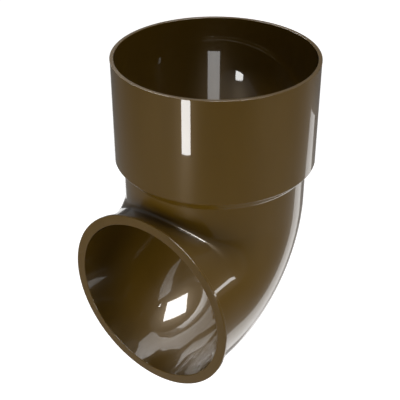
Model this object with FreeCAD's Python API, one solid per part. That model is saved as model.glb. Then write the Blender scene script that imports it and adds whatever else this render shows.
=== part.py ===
"""Downspout elbow: the one-piece moulded shoe at the foot of a round downpipe.

The socket at the top takes the pipe, which stands on a stop shoulder. Under the socket a slightly
narrower tube turns through a tight bend and ends in a round mouth with a thin raised rim.
The origin is the centre of the stop shoulder, +Z runs up the socket's axis, and the mouth faces -Y.
"""

import FreeCAD
import Part
import math
import os

# Driving dimensions, in millimetres and degrees
PIPE_DIAMETER = 100.0       # outside of the downpipe
PIPE_CLEARANCE = 1.0        # gap all round between the pipe and its socket
SOCKET_WALL = 2.0
SOCKET_DEPTH = 52.0         # from the rim down to the stop shoulder
STOP_THICKNESS = 3.0        # from the stop shoulder down to the shelf outside
TUBE_DIAMETER = 96.7        # outside of the narrower tube under the socket
TUBE_WALL = 2.8
STRAIGHT_LENGTH = 26.3      # from the stop shoulder to the start of the bend
BEND_RADIUS = 41.5          # of the centreline, less than the tube's own radius
BEND_ANGLE = 88.7
OUTLET_LENGTH = 17.1        # from the end of the bend to the mouth
THROAT_ROUND = 2.6          # where the two legs meet on the inside of the bend
THROAT_FADE = 2.4           # how softly that rounding runs out into the sides of the bend
MOUTH_RIM_DIAMETER = 101.8
MOUTH_RIM_THICKNESS = 1.6
LEAD_IN = 0.6               # bevel inside the socket's rim, which guides the pipe in
SOCKET_RIM_BEVEL = 0.3
SHELF_BEVEL = 0.5           # under the socket, round the outside of its shelf
MOUTH_RIM_BEVEL = 0.3
MOUTH_BEVEL = 0.3           # on the inner edge of the mouth
STOP_BEVEL = 1.0            # on the inner edge of the stop shoulder
ROOT_BEVEL = 0.5            # filling the corners where the tube meets the shelf and the mouth's rim

# Worked out from them
SOCKET_BORE = PIPE_DIAMETER / 2 + PIPE_CLEARANCE
SOCKET_RADIUS = SOCKET_BORE + SOCKET_WALL
TUBE_RADIUS = TUBE_DIAMETER / 2
TUBE_BORE = TUBE_RADIUS - TUBE_WALL
WALL_MIDDLE = TUBE_RADIUS - TUBE_WALL / 2
MOUTH_RIM_RADIUS = MOUTH_RIM_DIAMETER / 2
BEND_START = -STRAIGHT_LENGTH
TURN = math.radians(BEND_ANGLE)
MOUTH_OUT = BEND_RADIUS * (1 - math.cos(TURN)) + OUTLET_LENGTH * math.sin(TURN)
MOUTH_UP = BEND_START - BEND_RADIUS * math.sin(TURN) - OUTLET_LENGTH * math.cos(TURN)
OVERLAP = 0.4               # how far a turned piece or cutter reaches into what it joins

# How finely the bend is sampled
POINTS_ROUND = 96
RINGS_IN_BEND = 18


def throat_arc(radius, across):
    """Radius of the lengthwise arc at one place round the tube; across is the cosine of that place.

    The outside of the bend follows the bend radius. On the inside that arc would close up and
    cross itself, so it never falls below the throat's own rounding, which grows through the wall.
    """
    bent = BEND_RADIUS - radius * across
    least = THROAT_ROUND + TUBE_RADIUS - radius
    return (bent + least + math.hypot(bent - least, THROAT_FADE)) / 2


def bend_point(radius, angle, turn):
    """Point in the bend: angle goes round the tube from the throat, turn goes along the bend."""
    depth = radius * math.cos(angle)
    arc = throat_arc(radius, math.cos(angle))
    centre_out = depth + arc
    centre_up = BEND_START + (centre_out - BEND_RADIUS) * math.tan(TURN / 2)
    out = centre_out - arc * math.cos(turn)
    up = centre_up - arc * math.sin(turn)
    return FreeCAD.Vector(radius * math.sin(angle), -out, up)


def mouth_point(radius, angle):
    """Point in the plane of the mouth."""
    depth = radius * math.cos(angle)
    out = MOUTH_OUT + depth * math.cos(TURN)
    up = MOUTH_UP + depth * math.sin(TURN)
    return FreeCAD.Vector(radius * math.sin(angle), -out, up)


def stop_point(radius, angle):
    """Point in the plane of the stop shoulder."""
    return FreeCAD.Vector(radius * math.sin(angle), -radius * math.cos(angle), 0)


def ring(point_at):
    """Closed curve through the points that point_at gives, evenly spaced round the tube."""
    angles = [2 * math.pi * i / POINTS_ROUND for i in range(POINTS_ROUND)]
    curve = Part.BSplineCurve()
    curve.interpolate(
        Points=[point_at(angle) for angle in angles],
        PeriodicFlag=True,
        Parameters=angles + [2 * math.pi],
    )
    return curve.toShape()


def bent_rod(radius):
    """Solid of one radius from the stop shoulder, round the bend, to the mouth."""
    turns = [TURN * i / RINGS_IN_BEND for i in range(RINGS_IN_BEND + 1)]
    rings = [ring(lambda angle: bend_point(radius, angle, turn)) for turn in turns]
    stop = ring(lambda angle: stop_point(radius, angle))
    mouth = ring(lambda angle: mouth_point(radius, angle))
    skins = [
        Part.makeRuledSurface(stop, rings[0]),
        Part.makeLoft([Part.Wire(edge) for edge in rings], False, False),
        Part.makeRuledSurface(rings[-1], mouth),
        Part.Face(Part.Wire(stop)),
        Part.Face(Part.Wire(mouth)),
    ]
    shell = Part.Shell([face for skin in skins for face in skin.Faces])
    shell.sewShape()
    return Part.Solid(shell)


def outline(corners):
    """Closed outline in the plane of radius and height; a corner is (radius, height, bevel)."""
    points = [FreeCAD.Vector(radius, 0, height) for radius, height, _ in corners]
    bevelled = []
    for i, (_, _, bevel) in enumerate(corners):
        before = (points[i - 1] - points[i]).normalize()
        after = (points[(i + 1) % len(points)] - points[i]).normalize()
        bevelled += [points[i] + before * bevel, points[i] + after * bevel] if bevel else [points[i]]
    return Part.makePolygon(bevelled + bevelled[:1])


def turned(corners):
    """Solid of revolution about Z with that outline."""
    profile = Part.Face(outline(corners))
    return profile.revolve(FreeCAD.Vector(0, 0, 0), FreeCAD.Vector(0, 0, 1), 360)


def at_mouth(solid):
    """Moves a solid turned about Z so that its Z runs out of the mouth from the mouth's centre."""
    tip = FreeCAD.Rotation(FreeCAD.Vector(1, 0, 0), 180 - BEND_ANGLE)
    solid.Placement = FreeCAD.Placement(FreeCAD.Vector(0, -MOUTH_OUT, MOUTH_UP), tip)
    return solid


def socket():
    """The cup that takes the pipe, with its stop shoulder inside and its shelf outside."""
    root = TUBE_RADIUS + ROOT_BEVEL
    inside = TUBE_RADIUS - OVERLAP
    return turned([
        (WALL_MIDDLE, 0, 0),
        (SOCKET_BORE, 0, 0),
        (SOCKET_BORE, SOCKET_DEPTH, LEAD_IN),
        (SOCKET_RADIUS, SOCKET_DEPTH, SOCKET_RIM_BEVEL),
        (SOCKET_RADIUS, -STOP_THICKNESS, SHELF_BEVEL),
        (root, -STOP_THICKNESS, 0),
        (inside, -STOP_THICKNESS - ROOT_BEVEL - OVERLAP, 0),
        (WALL_MIDDLE, -STOP_THICKNESS - ROOT_BEVEL - OVERLAP, 0),
    ])


def mouth_rim():
    """The thin raised rim round the mouth, with its front flush with the tube's end."""
    root = TUBE_RADIUS + ROOT_BEVEL
    inside = TUBE_RADIUS - OVERLAP
    return at_mouth(turned([
        (WALL_MIDDLE, 0, 0),
        (MOUTH_RIM_RADIUS, 0, MOUTH_RIM_BEVEL),
        (MOUTH_RIM_RADIUS, -MOUTH_RIM_THICKNESS, MOUTH_RIM_BEVEL),
        (root, -MOUTH_RIM_THICKNESS, 0),
        (inside, -MOUTH_RIM_THICKNESS - ROOT_BEVEL - OVERLAP, 0),
        (WALL_MIDDLE, -MOUTH_RIM_THICKNESS - ROOT_BEVEL - OVERLAP, 0),
    ]))


def edge_cutter(radius, bevel):
    """Cone that bevels the edge of a bore that ends at height 0 and goes down from there."""
    foot = FreeCAD.Vector(0, 0, -bevel - OVERLAP)
    return Part.makeCone(radius - OVERLAP, radius + bevel + OVERLAP, bevel + 2 * OVERLAP, foot)


def elbow():
    """The whole fitting as one solid."""
    tube = bent_rod(TUBE_RADIUS).cut(bent_rod(TUBE_BORE))
    whole = tube.fuse([socket(), mouth_rim()])
    whole = whole.cut(edge_cutter(TUBE_BORE, STOP_BEVEL))
    whole = whole.cut(at_mouth(edge_cutter(TUBE_BORE, MOUTH_BEVEL)))
    return whole.removeSplitter().Solids[0]


os.makedirs("parts", exist_ok=True)
shape = elbow()
shape.exportStep("parts/downspout_elbow.step")
box = shape.BoundBox
print(f"downspout_elbow: {box.XLength:.1f} x {box.YLength:.1f} x {box.ZLength:.1f} mm,",
      f"{shape.Volume / 1000:.1f} cm3, {len(shape.Faces)} faces, valid {shape.isValid()}")
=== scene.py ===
# %% [markdown]
# # A downspout elbow in glossy brown plastic
# This elbow sits at the foot of a rainwater pipe. The pipe drops into the wide socket at the top,
# and the narrower tube under it turns sharply and throws the water out of a round mouth.
# The measured model of it is loaded first. Everything else is made in the same place and size
# around it, in metres, so the picture can't drift away from the real dimensions.

# %% Load the measured model
import math

import bpy
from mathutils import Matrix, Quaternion, Vector


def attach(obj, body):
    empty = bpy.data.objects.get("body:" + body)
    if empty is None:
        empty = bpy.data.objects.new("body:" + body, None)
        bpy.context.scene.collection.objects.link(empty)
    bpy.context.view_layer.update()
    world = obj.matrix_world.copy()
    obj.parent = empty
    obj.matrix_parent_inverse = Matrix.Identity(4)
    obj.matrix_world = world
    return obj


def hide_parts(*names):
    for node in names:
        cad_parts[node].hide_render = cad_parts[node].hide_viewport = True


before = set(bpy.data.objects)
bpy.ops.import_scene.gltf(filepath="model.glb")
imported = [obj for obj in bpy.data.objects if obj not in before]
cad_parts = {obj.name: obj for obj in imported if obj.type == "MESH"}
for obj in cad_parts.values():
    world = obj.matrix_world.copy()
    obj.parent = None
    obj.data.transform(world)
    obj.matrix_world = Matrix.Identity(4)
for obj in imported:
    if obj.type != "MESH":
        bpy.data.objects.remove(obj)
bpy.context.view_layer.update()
MM = 0.001

# %% [markdown]
# ## The sizes of the elbow
# All the sizes are in millimetres, as they are on a drawing. A station is a distance down the
# fitting, as if it were straight: 0 is the shoulder that the pipe stands on, the socket's rim is
# above it at minus 52, and the mouth is at the far end. Outside, the socket ends at the shelf
# station, and a short cone, the shoulder, takes it in to the narrower tube. The measured model is
# plainer: it has a flat shelf in place of the cone, a slightly rounder throat, and flat bevels on
# its edges. Writing the sizes once, by name, lets the rest of the file be read without a calculator.

# %% The sizes of the elbow
SOCKET_RADIUS = 53.0
SOCKET_BORE = 51.0
SOCKET_DEPTH = 52.0
SHELF_STATION = 3.4
SHOULDER_STATION = 8.6
TUBE_RADIUS = 48.35
TUBE_BORE = 45.55
BEND_STATION = 26.3
BEND_RADIUS = 41.5
BEND_ANGLE = math.radians(88.7)
OUTLET_LENGTH = 17.1
THROAT_ROUND = 1.8
THROAT_FADE = 2.6
MOUTH_RIM_RADIUS = 50.9
MOUTH_RIM_THICKNESS = 1.6

BEND_LENGTH = BEND_RADIUS * BEND_ANGLE
OUTLET_STATION = BEND_STATION + BEND_LENGTH
MOUTH_STATION = OUTLET_STATION + OUTLET_LENGTH
print(f"length along the middle, from rim to mouth: {SOCKET_DEPTH + MOUTH_STATION:.1f} mm")

# %% [markdown]
# ## The outline of the wall
# If the elbow were straight, it could be turned on a lathe from one closed outline: down the
# outside from the socket's rim to the mouth, and back up the inside. Each corner has a small
# rounding, because a mould never leaves a perfectly sharp edge, and that rounding is what
# catches a thin line of light along a rim. Long runs are cut into short steps, so that they can
# be bent later. Close to a rounding there is always one more point, which keeps the smooth
# shading of the edge from spreading over the flat beside it.

# %% The outline of the wall
ROUND_STEPS = 4
EDGE_SUPPORT = 0.15


def rounding(before, corner, after, radius):
    """Points of the arc that rounds one corner, with a supporting point on each side of it."""
    to_before = (before - corner).normalized()
    to_after = (after - corner).normalized()
    half = to_before.angle(to_after) / 2
    reach = radius / math.tan(half)
    centre = corner + (to_before + to_after).normalized() * radius / math.sin(half)
    first = corner + to_before * reach
    last = corner + to_after * reach
    points = [first + to_before * EDGE_SUPPORT]
    for step in range(ROUND_STEPS + 1):
        spoke = (first - centre).lerp(last - centre, step / ROUND_STEPS)
        points.append(centre + spoke.normalized() * radius)
    points.append(last + to_after * EDGE_SUPPORT)
    return points


def stepped(start, end, longest):
    """Points between two ends, no further apart than the longest step."""
    count = max(1, math.ceil((end - start).length / longest))
    return [start.lerp(end, step / count) for step in range(1, count)]


def closed_outline(corners):
    """Closed outline through corners of (radius, station, rounding, longest step after it)."""
    spots = [Vector((radius, station)) for radius, station, _, _ in corners]
    points = []
    for index, (_, _, radius, _) in enumerate(corners):
        before, after = spots[index - 1], spots[(index + 1) % len(spots)]
        arc = rounding(before, spots[index], after, radius) if radius else [spots[index]]
        if points:
            points += stepped(points[-1], arc[0], corners[index - 1][3])
        points += arc
    return points + stepped(points[-1], points[0], corners[-1][3])


FLAT = 20.0
STRAIGHT_STEP = 2.5
BEND_STEP = 1.3
RIM_BACK = MOUTH_STATION - MOUTH_RIM_THICKNESS
outline = closed_outline([
    (SOCKET_RADIUS, -SOCKET_DEPTH, 0.15, FLAT),
    (SOCKET_RADIUS, SHELF_STATION, 0.8, FLAT),
    (TUBE_RADIUS, SHOULDER_STATION, 1.2, STRAIGHT_STEP),
    (TUBE_RADIUS, BEND_STATION, 0, BEND_STEP),
    (TUBE_RADIUS, OUTLET_STATION, 0, STRAIGHT_STEP),
    (TUBE_RADIUS, RIM_BACK, 0.5, FLAT),
    (MOUTH_RIM_RADIUS, RIM_BACK, 0.3, FLAT),
    (MOUTH_RIM_RADIUS, MOUTH_STATION, 0.3, FLAT),
    (TUBE_BORE, MOUTH_STATION, 0.3, STRAIGHT_STEP),
    (TUBE_BORE, OUTLET_STATION, 0, BEND_STEP),
    (TUBE_BORE, BEND_STATION, 0, STRAIGHT_STEP),
    (TUBE_BORE, 0, 1.0, FLAT),
    (SOCKET_BORE, 0, 0.3, FLAT),
    (SOCKET_BORE, -SOCKET_DEPTH, 0.2, FLAT),
])
print("points in the outline:", len(outline))

# %% [markdown]
# ## A helper for node trees
# Materials and Geometry Nodes are both trees of nodes, and a sum of five terms needs four Math
# nodes. The class below wraps the output of a node, so that the sum can be written as ordinary
# Python, and each sign adds its Math node. Every other kind of node is added by one method,
# which takes the type, then the settings, then the values or links of the sockets. Some nodes
# have many outputs, and the four that are used here get a name for their place in the list.

# %% A helper for node trees
OBJECT_COORDINATES = 3
CAMERA_RAY, GLOSSY_RAY, TRANSMISSION_RAY = 0, 3, 6


class Wire:
    """The output of a node, for use in sums and as the input of other nodes."""

    def __init__(self, socket):
        self.socket = socket

    def maths(self, operation, *values):
        """Adds a Math node to the tree that this output belongs to."""
        tree = Tree(self.socket.id_data)
        return tree.node("ShaderNodeMath", {"operation": operation}, dict(enumerate(values)))[0]

    def __add__(self, other):
        return self.maths("ADD", self, other)

    def __radd__(self, other):
        return self.maths("ADD", other, self)

    def __sub__(self, other):
        return self.maths("SUBTRACT", self, other)

    def __rsub__(self, other):
        return self.maths("SUBTRACT", other, self)

    def __mul__(self, other):
        return self.maths("MULTIPLY", self, other)

    def __rmul__(self, other):
        return self.maths("MULTIPLY", other, self)

    def __truediv__(self, other):
        return self.maths("DIVIDE", self, other)

    def __rtruediv__(self, other):
        return self.maths("DIVIDE", other, self)

    def root(self):
        return self.maths("SQRT", self)

    def sine(self):
        return self.maths("SINE", self)

    def cosine(self):
        return self.maths("COSINE", self)

    def at_least(self, other):
        return self.maths("MAXIMUM", self, other)

    def at_most(self, other):
        return self.maths("MINIMUM", self, other)


class Tree:
    """Adds nodes to one node tree."""

    def __init__(self, tree):
        self.tree = tree

    def node(self, kind, settings=None, sockets=None):
        """Adds a node and gives its outputs, as a list that can also be read by index."""
        made = self.tree.nodes.new(kind)
        for name, value in (settings or {}).items():
            setattr(made, name, value)
        for name, value in (sockets or {}).items():
            if isinstance(value, Wire):
                self.tree.links.new(value.socket, made.inputs[name])
            else:
                made.inputs[name].default_value = value
        return [Wire(output) for output in made.outputs]


# %% [markdown]
# ## From the outline to the bent elbow
# On the real fitting the bend is so tight that its middle line has a smaller radius than the tube
# itself. A curve with a round profile would fold over itself on the inside of such a bend. So the
# straight elbow is turned first, by sweeping the outline round a circle, and then each point is
# moved by one rule. A lengthwise line of the wall is straight, then an arc, then straight again.
# On the outside of the bend the arc is long. Towards the inside it gets smaller, until it reaches
# the small rounding of the throat, where the two legs of the elbow meet. Geometry Nodes suit this,
# because the rule is a sum that is the same for every point. The shelf with its shoulder, and the
# last few millimetres before the mouth, are moved but not stretched, so they keep their profile.

# %% The tree that bends the elbow
PAST_SHOULDER = 1.0
RIM_ZONE = 2.8

SIZES = {
    "Tube radius": TUBE_RADIUS * MM,
    "Bend station": BEND_STATION * MM,
    "Bend radius": BEND_RADIUS * MM,
    "Bend angle": BEND_ANGLE,
    "Outlet length": OUTLET_LENGTH * MM,
    "Throat round": THROAT_ROUND * MM,
    "Throat fade": THROAT_FADE * MM,
    "Shelf end": (SHOULDER_STATION + PAST_SHOULDER) * MM,
    "Rim zone": RIM_ZONE * MM,
}


def elbow_tree():
    """Geometry Nodes that turn an outline into the elbow and bend it."""
    group = bpy.data.node_groups.new("bent elbow", "GeometryNodeTree")
    face = group.interface
    face.new_socket("Outline", in_out="INPUT", socket_type="NodeSocketGeometry")
    for name in SIZES:
        face.new_socket(name, in_out="INPUT", socket_type="NodeSocketFloat")
    face.new_socket("Steps round", in_out="INPUT", socket_type="NodeSocketInt")
    face.new_socket("Plastic", in_out="INPUT", socket_type="NodeSocketMaterial")
    face.new_socket("Elbow", in_out="OUTPUT", socket_type="NodeSocketGeometry")

    tree = Tree(group)
    given = dict(zip([item.name for item in face.items_tree if item.in_out == "INPUT"],
                     tree.node("NodeGroupInput")))
    tube, start, bend = given["Tube radius"], given["Bend station"], given["Bend radius"]
    angle, shelf = given["Bend angle"], given["Shelf end"]

    # Turning: the outline goes round a circle of the tube's radius
    profile = tree.node("GeometryNodeMeshToCurve", {}, {"Mesh": given["Outline"]})[0]
    circle = tree.node("GeometryNodeCurvePrimitiveCircle", {"mode": "RADIUS"},
                       {"Resolution": given["Steps round"], "Radius": tube})[0]
    turned = tree.node("GeometryNodeCurveToMesh", {},
                       {"Curve": circle, "Profile Curve": profile})[0]

    # Where each point is on the straight elbow
    place = tree.node("GeometryNodeInputPosition")[0]
    x, y, z = tree.node("ShaderNodeSeparateXYZ", {}, {"Vector": place})
    radius = (x * x + y * y).root()
    depth = 0 - y
    station = 0 - z

    # The arc of its lengthwise line, never smaller than the throat's rounding
    bent = bend - depth
    least = given["Throat round"] + tube - radius
    gap = bent - least
    fade = given["Throat fade"]
    arc = (bent + least + (gap * gap + fade * fade).root()) / 2
    centre_out = depth + arc
    half_angle = angle / 2
    shift = (centre_out - bend) * (half_angle.sine() / half_angle.cosine())
    centre_up = shift - start

    # How far along the straight part, the bend and the outlet the point is
    down = ((station - shelf) / (start - shelf)).at_least(0).at_most(1)
    turn = ((station - start) / (bend * angle)).at_least(0).at_most(1)
    past = station - start - bend * angle
    plain_outlet = given["Outlet length"] - given["Rim zone"]
    leaving = (past / plain_outlet).at_least(0).at_most(1)
    beyond = (past - plain_outlet).at_least(0)

    # Straight, arc and straight, put together
    tail = (plain_outlet - shift) * leaving + beyond
    swing = turn * angle
    out = centre_out - arc * swing.cosine() + tail * angle.sine()
    straight = (centre_up + shelf) * down - station.at_most(shelf)
    up = straight - arc * swing.sine() - tail * angle.cosine()
    moved = tree.node("ShaderNodeCombineXYZ", {}, {"X": x, "Y": 0 - out, "Z": up})[0]

    shape = tree.node("GeometryNodeSetPosition", {}, {"Geometry": turned, "Position": moved})[0]
    shape = tree.node("GeometryNodeSetShadeSmooth", {}, {0: shape, "Shade Smooth": True})[0]
    shape = tree.node("GeometryNodeRealizeInstances", {}, {0: shape})[0]
    shape = tree.node("GeometryNodeSetMaterial", {}, {0: shape, "Material": given["Plastic"]})[0]
    tree.node("NodeGroupOutput", {}, {"Elbow": shape})
    return group


bend_group = elbow_tree()
print("nodes in the elbow's tree:", len(bend_group.nodes))

# %% [markdown]
# ## The plastic
# The fitting is moulded in a dark olive brown plastic, coloured all through. The steel mould was
# polished, so the skin is glossy, and lamps show in it with sharp edges. Under that skin the
# pigment scatters light, which gives the brown its depth and puts a soft warm glow beside each
# highlight. The Principled shader has both layers: a clear coat for the skin, and a rougher base
# with a slightly warm sheen for the pigment.
#
# Moulded plastic is never quite even. The hot plastic flowed into the mould, which leaves faint
# long clouds of colour, and the pigment itself is a fine grain. The skin has shallow waves, a few
# millimetres apart, and a slight haze where it was handled. Noise textures make all of these. They
# read Object coordinates, so a pattern stays where it is on the fitting, and their scales are
# counts per metre, so one that repeats every 11 mm has a scale of 90.

# %% The plastic
DARK_BROWN = (0.0590, 0.0310, 0.0015, 1)
LIGHT_BROWN = (0.0675, 0.0358, 0.0020, 1)
WARM_SHEEN = (1.0, 0.82, 0.6, 1)
FLOW_STRETCH = (1, 1, 0.3)
FLOW_SCALE, HAZE_SCALE, WAVE_SCALE, GRAIN_SCALE = 90, 45, 300, 2400
WAVE_HEIGHT = 0.03 * MM
HAZE_DEPTH = 0.08

plastic = bpy.data.materials.new("brown gloss plastic")
plastic.use_nodes = True
plastic.node_tree.nodes.clear()
tree = Tree(plastic.node_tree)
place = tree.node("ShaderNodeTexCoord")[OBJECT_COORDINATES]


def noise(where, scale, detail):
    """Noise between 0 and 1, with most of it near the middle."""
    sockets = {"Vector": where, "Scale": scale, "Detail": detail}
    return tree.node("ShaderNodeTexNoise", {}, sockets)[0]


stretched = tree.node("ShaderNodeMapping", {}, {"Vector": place, "Scale": FLOW_STRETCH})[0]
flow = noise(stretched, FLOW_SCALE, 3)
grain = noise(place, GRAIN_SCALE, 1)
waves = noise(place, WAVE_SCALE, 1)
haze = noise(place, HAZE_SCALE, 4)
clouds = (flow * 1.4 + grain * 0.6 - 0.5).at_least(0).at_most(1)
# A Mix node keeps its factor in input 0, its two colours in 6 and 7, and the mixed one in output 2
brown = tree.node("ShaderNodeMix", {"data_type": "RGBA"},
                  {0: clouds, 6: DARK_BROWN, 7: LIGHT_BROWN})[2]
skin = tree.node("ShaderNodeBump", {}, {
    "Strength": 0.3,
    "Distance": WAVE_HEIGHT,
    "Height": waves + grain * 0.2,
})[0]
surface = tree.node("ShaderNodeBsdfPrincipled", {}, {
    "Base Color": brown,
    "Roughness": haze * HAZE_DEPTH + 0.28,
    "Specular IOR Level": 0.3,
    "Specular Tint": WARM_SHEEN,
    "Normal": skin,
    "Coat Weight": 1.03 - haze * HAZE_DEPTH,
    "Coat Roughness": 0.02,
    "Coat IOR": 1.5,
})[0]
tree.node("ShaderNodeOutputMaterial", {}, {"Surface": surface})
print("nodes in the plastic:", len(plastic.node_tree.nodes))

# %% [markdown]
# ## Making the elbow
# The outline becomes a loop of points and edges, and the modifier turns it into the finished
# wall. Its inputs are set by the identifier of each socket, because two sockets may share a name.
# The result is then kept as a plain mesh, so that nothing has to be worked out again later.

# %% Making the elbow
STEPS_ROUND = 240


def outline_mesh(points):
    """The outline as a closed loop, laid out as the sweep round the circle needs it."""
    spots = [((radius - TUBE_RADIUS) * MM, station * MM, 0) for radius, station in points]
    edges = [(index, (index + 1) % len(spots)) for index in range(len(spots))]
    mesh = bpy.data.meshes.new("elbow outline")
    mesh.from_pydata(spots, edges, [])
    return mesh


def worked_out(piece, group, values):
    """Runs a Geometry Nodes tree on a piece and gives the piece the resulting plain mesh."""
    modifier = piece.modifiers.new("shape", "NODES")
    modifier.node_group = group
    for item in group.interface.items_tree:
        if item.in_out == "INPUT" and item.name in values:
            modifier[item.identifier] = values[item.name]
    graph = bpy.context.evaluated_depsgraph_get()
    mesh = bpy.data.meshes.new_from_object(piece.evaluated_get(graph))
    piece.modifiers.remove(modifier)
    piece.data = mesh


elbow = bpy.data.objects.new("elbow", outline_mesh([tuple(point) for point in outline]))
bpy.context.scene.collection.objects.link(elbow)
worked_out(elbow, bend_group, {**SIZES, "Steps round": STEPS_ROUND, "Plastic": plastic})
elbow.data.name = "elbow"
points = [vertex.co for vertex in elbow.data.vertices]
spans = [max(point[axis] for point in points) - min(point[axis] for point in points)
         for axis in range(3)]
print(f"elbow: {len(elbow.data.polygons)} faces, size in mm:",
      [round(span / MM, 2) for span in spans])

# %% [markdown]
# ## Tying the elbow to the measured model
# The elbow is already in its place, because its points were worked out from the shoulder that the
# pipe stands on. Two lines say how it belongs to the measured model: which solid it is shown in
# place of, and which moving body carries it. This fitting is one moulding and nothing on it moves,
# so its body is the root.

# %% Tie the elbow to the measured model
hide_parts("downspout_elbow")
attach(elbow, "root")
print("the elbow is shown in place of the solid downspout_elbow")

# %% [markdown]
# ## The camera
# The picture looks down on the elbow from its front right, so that the socket's open top and the
# round mouth both show. The lens is long and the camera stands about half a metre away, which
# keeps the two sides of the socket nearly parallel. The place and the turn were worked out from
# the ellipses of the rims: the height of an ellipse, against its width, tells how steeply the
# camera looks down on it.

# %% The camera
CAMERA_SPOT = Vector((0.2567, -0.3431, 0.2345))
CAMERA_TURN = math.radians(37.86)
CAMERA_TILT = math.radians(32.02)
LENS, SENSOR = 83.04, 36

camera = bpy.data.objects.new("camera", bpy.data.cameras.new("camera"))
bpy.context.scene.collection.objects.link(camera)
camera.location = CAMERA_SPOT
camera.rotation_euler = (math.pi / 2 - CAMERA_TILT, 0, CAMERA_TURN)
camera.data.lens = LENS
camera.data.sensor_width = SENSOR
camera.data.clip_start = 10 * MM
bpy.context.scene.camera = camera
print(f"camera: {CAMERA_SPOT.length:.2f} m away,",
      f"looking down {math.degrees(CAMERA_TILT):.0f} degrees")

# %% [markdown]
# ## The floor
# The ground of the picture is plain white. Here that is a wide, pale, matt floor, well below the
# elbow, because an elbow hangs on its pipe, and its lowest highlights come from lamps that stand
# lower than it does. White paint alone would stay grey where little light falls on it. So the floor
# also glows, and Light Path lets only the camera and reflections see that glow. It lights nothing,
# and the elbow keeps its own colours. In reflections it stays inside a pool, the part of the floor
# that is in the picture, or else the sides of the elbow would show a white floor all round.

# %% The floor
FLOOR_HEIGHT = -0.45
FLOOR_REACH = 30.0
FLOOR_GREY = (0.42, 0.42, 0.42, 1)
FLOOR_GLOW = 0.95
POOL_NEAR, POOL_FAR = 0.67, 2.1
POOL_SPREAD = 0.22
POOL_EDGE = 0.03
DROP = CAMERA_SPOT.z - FLOOR_HEIGHT

floor_paint = bpy.data.materials.new("pale matt floor")
floor_paint.use_nodes = True
floor_paint.node_tree.nodes.clear()
tree = Tree(floor_paint.node_tree)
place = tree.node("ShaderNodeTexCoord")[OBJECT_COORDINATES]
x, y, _ = tree.node("ShaderNodeSeparateXYZ", {}, {"Vector": place})
x, y = x - CAMERA_SPOT.x, y - CAMERA_SPOT.y
ahead = y * math.cos(CAMERA_TURN) - x * math.sin(CAMERA_TURN)
aside = x * math.cos(CAMERA_TURN) + y * math.sin(CAMERA_TURN)
half_width = (ahead * math.cos(CAMERA_TILT) + DROP * math.sin(CAMERA_TILT)) * POOL_SPREAD
sides = (half_width - (aside * aside).root()) / POOL_EDGE
ends = (ahead - POOL_NEAR).at_most(POOL_FAR - ahead) / POOL_EDGE
pool = (sides.at_most(ends) + 1).at_least(0).at_most(1)
rays = tree.node("ShaderNodeLightPath")
reflected = (rays[GLOSSY_RAY] + rays[TRANSMISSION_RAY]).at_most(1)
seen = (rays[CAMERA_RAY] + reflected * pool).at_most(1)
matt = tree.node("ShaderNodeBsdfDiffuse", {}, {"Color": FLOOR_GREY})[0]
glow = tree.node("ShaderNodeEmission", {}, {"Strength": seen * FLOOR_GLOW})[0]
both = tree.node("ShaderNodeAddShader", {}, {0: matt, 1: glow})[0]
tree.node("ShaderNodeOutputMaterial", {}, {"Surface": both})

floor_mesh = bpy.data.meshes.new("floor")
corners = [(-1, -1), (1, -1), (1, 1), (-1, 1)]
floor_mesh.from_pydata([(x * FLOOR_REACH, y * FLOOR_REACH, FLOOR_HEIGHT) for x, y in corners],
                       [], [(0, 1, 2, 3)])
floor_mesh.materials.append(floor_paint)
floor = bpy.data.objects.new("floor", floor_mesh)
bpy.context.scene.collection.objects.link(floor)
print(f"floor: {-FLOOR_HEIGHT:.2f} m below the shoulder")

# %% [markdown]
# ## The lamps
# A glossy thing shows its surroundings, so the shape and place of a lamp matter as much as its
# light. Each lamp is a softbox: a plain rectangle of light, which the camera doesn't see but the
# plastic does. A helper makes them all. It takes the brightness that the rectangle seems to have,
# where 1 is a white wall, because that is what a reflection repeats. The watts follow from the
# size, so a softbox can be made larger or moved and still look as bright.
#
# Places are easier to read from the camera's side, so they are built from two level directions,
# one towards the camera and one to its right. A lamp that faces down and is turned square on has
# its width along the second.

# %% A helper for the lamps
TOWARDS_CAMERA = Vector((math.sin(CAMERA_TURN), -math.cos(CAMERA_TURN), 0))
TO_THE_RIGHT = Vector((math.cos(CAMERA_TURN), math.sin(CAMERA_TURN), 0))
UP = Vector((0, 0, 1))
MIDDLE = Vector((0, -0.01, -0.02))
SQUARE_ON = math.degrees(CAMERA_TURN)


def direction(azimuth, elevation):
    """Unit vector; azimuth 0 is towards the camera and grows to its right, in degrees."""
    azimuth, elevation = math.radians(azimuth), math.radians(elevation)
    level = TOWARDS_CAMERA * math.cos(azimuth) + TO_THE_RIGHT * math.sin(azimuth)
    return level * math.cos(elevation) + UP * math.sin(elevation)


def softbox(name, spot, facing, width, height, brightness, turn=0.0):
    """Area lamp at a spot, facing a direction and turned about it, all in metres and degrees."""
    data = bpy.data.lights.new(name, "AREA")
    data.shape = "RECTANGLE"
    data.size, data.size_y = width, height
    data.energy = brightness * math.pi * width * height
    lamp = bpy.data.objects.new(name, data)
    bpy.context.scene.collection.objects.link(lamp)
    aim = (-facing).to_track_quat("Z", "Y")
    lamp.location = spot
    lamp.rotation_euler = (aim @ Quaternion((0, 0, 1), math.radians(turn))).to_euler()
    lamp.visible_camera = False
    print(f"{name}: {width:.2f} x {height:.2f} m, {data.energy:.2f} W")
    return lamp


# %% [markdown]
# ## The softboxes round the elbow
# The front strip draws the white stripe down the socket, and the side strip draws the short light
# stroke on the bend. A large square softbox hangs overhead. It gives most of the light from above,
# and it shows as a bright diamond inside the mouth. A long panel lies low at the right and shines
# up, and it makes the pale band that follows the back of the bend. The numbers after the facing
# are width, height and brightness.

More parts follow.
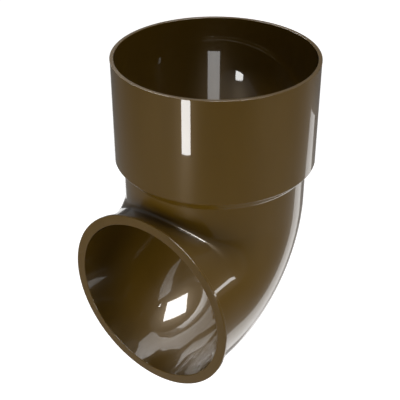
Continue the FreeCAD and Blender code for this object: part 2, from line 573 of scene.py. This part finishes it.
# %% The softboxes round the elbow
front, side = direction(-31, 0), direction(87, 4)
softbox("front strip", front * 0.58 - UP * 0.2315, -front, 0.096, 0.083, 17)
softbox("side strip", MIDDLE + side * 0.6, -side, 0.137, 0.034, 8)
softbox("low panel", direction(123.6, 0) * 0.444 - UP * 0.34, UP, 0.18, 0.66, 1.25, turn=1.9)
softbox("overhead", MIDDLE + direction(87, 81.6) * 0.9, -UP, 0.329, 0.329, 23,
        turn=SQUARE_ON + 13.6)

# %% [markdown]
# ## Fill light and ceiling strips
# Two fill lamps lift the brown of the sides to the level at which it was written. They stand
# aside, a little low, and are turned off for reflections, or else they would show as two large
# squares. Their spread is narrow, as from a softbox with a grid, so little of it falls on the
# floor. The same watts then go into a smaller cone, and head-on such a lamp is brighter than its
# number says.
#
# The ceiling strips do the opposite. They show only in reflections, which the Diffuse switch of
# the lamp sees to. In the mouth they are seen by way of two bounces, as wide dim bands, and they
# draw the thin line along the throat. A small card inside the socket does the same for its far
# wall, and it is narrow too, so that the side walls don't show it again.

# %% Fill light and ceiling strips
GRID_SPREAD = math.radians(80)
FILL_BRIGHTNESS = 1.85
STRIP_BRIGHTNESS = 27

for name, azimuth in (("left fill", -60), ("right fill", 60)):
    aim = direction(azimuth, -12)
    fill = softbox(name, MIDDLE + aim * 0.7, -aim, 0.5, 0.4, FILL_BRIGHTNESS)
    fill.data.spread = GRID_SPREAD
    fill.visible_glossy = False

# Name, direction seen from the camera, distance, height, width, length and turn
strips = [
    ("front ceiling strip", 17.7, 0.493, 0.9, 0.56, 0.10, 0),
    ("corner ceiling strip", 43.5, 0.552, 0.9, 0.30, 0.16, 35),
    ("right ceiling strip", 65.3, 0.622, 0.9, 0.21, 0.36, 0),
    ("rear ceiling strip", -158.5, 0.409, 0.5, 0.11, 0.42, 6),
]
for name, azimuth, distance, height, width, length, turn in strips:
    spot = direction(azimuth, 0) * distance + UP * height
    strip = softbox(name, spot, -UP, width, length, STRIP_BRIGHTNESS, turn=SQUARE_ON + turn)
    strip.visible_diffuse = False

card = softbox("inner card", TOWARDS_CAMERA * 0.04 + TO_THE_RIGHT * 0.0019 - UP * 0.0255,
               -TOWARDS_CAMERA, 0.0163, 0.039, 1.6)
card.data.spread = GRID_SPREAD
card.visible_diffuse = False
print("lamps that show only in reflections:", len(strips) + 1)

# %% [markdown]
# ## The rest of the studio
# A plain grey world stands for the walls of the room. It gives the gloss its faint even veil, and
# keeps the inside of the socket from going black. To the camera itself the walls are as white as
# the floor, which Light Path does once more. The view transform is Standard, so a colour in the
# picture is the colour that the light and the plastic give, with no film look on top.

# %% The rest of the studio
WALL_BRIGHTNESS = 0.2

world = bpy.data.worlds.new("studio")
world.use_nodes = True
world.node_tree.nodes.clear()
tree = Tree(world.node_tree)
to_camera = tree.node("ShaderNodeLightPath")[CAMERA_RAY]
strength = to_camera * (1 - WALL_BRIGHTNESS) + WALL_BRIGHTNESS
walls = tree.node("ShaderNodeBackground", {}, {"Color": (1, 1, 1, 1), "Strength": strength})[0]
tree.node("ShaderNodeOutputWorld", {}, {"Surface": walls})
bpy.context.scene.world = world
bpy.context.scene.view_settings.view_transform = "Standard"
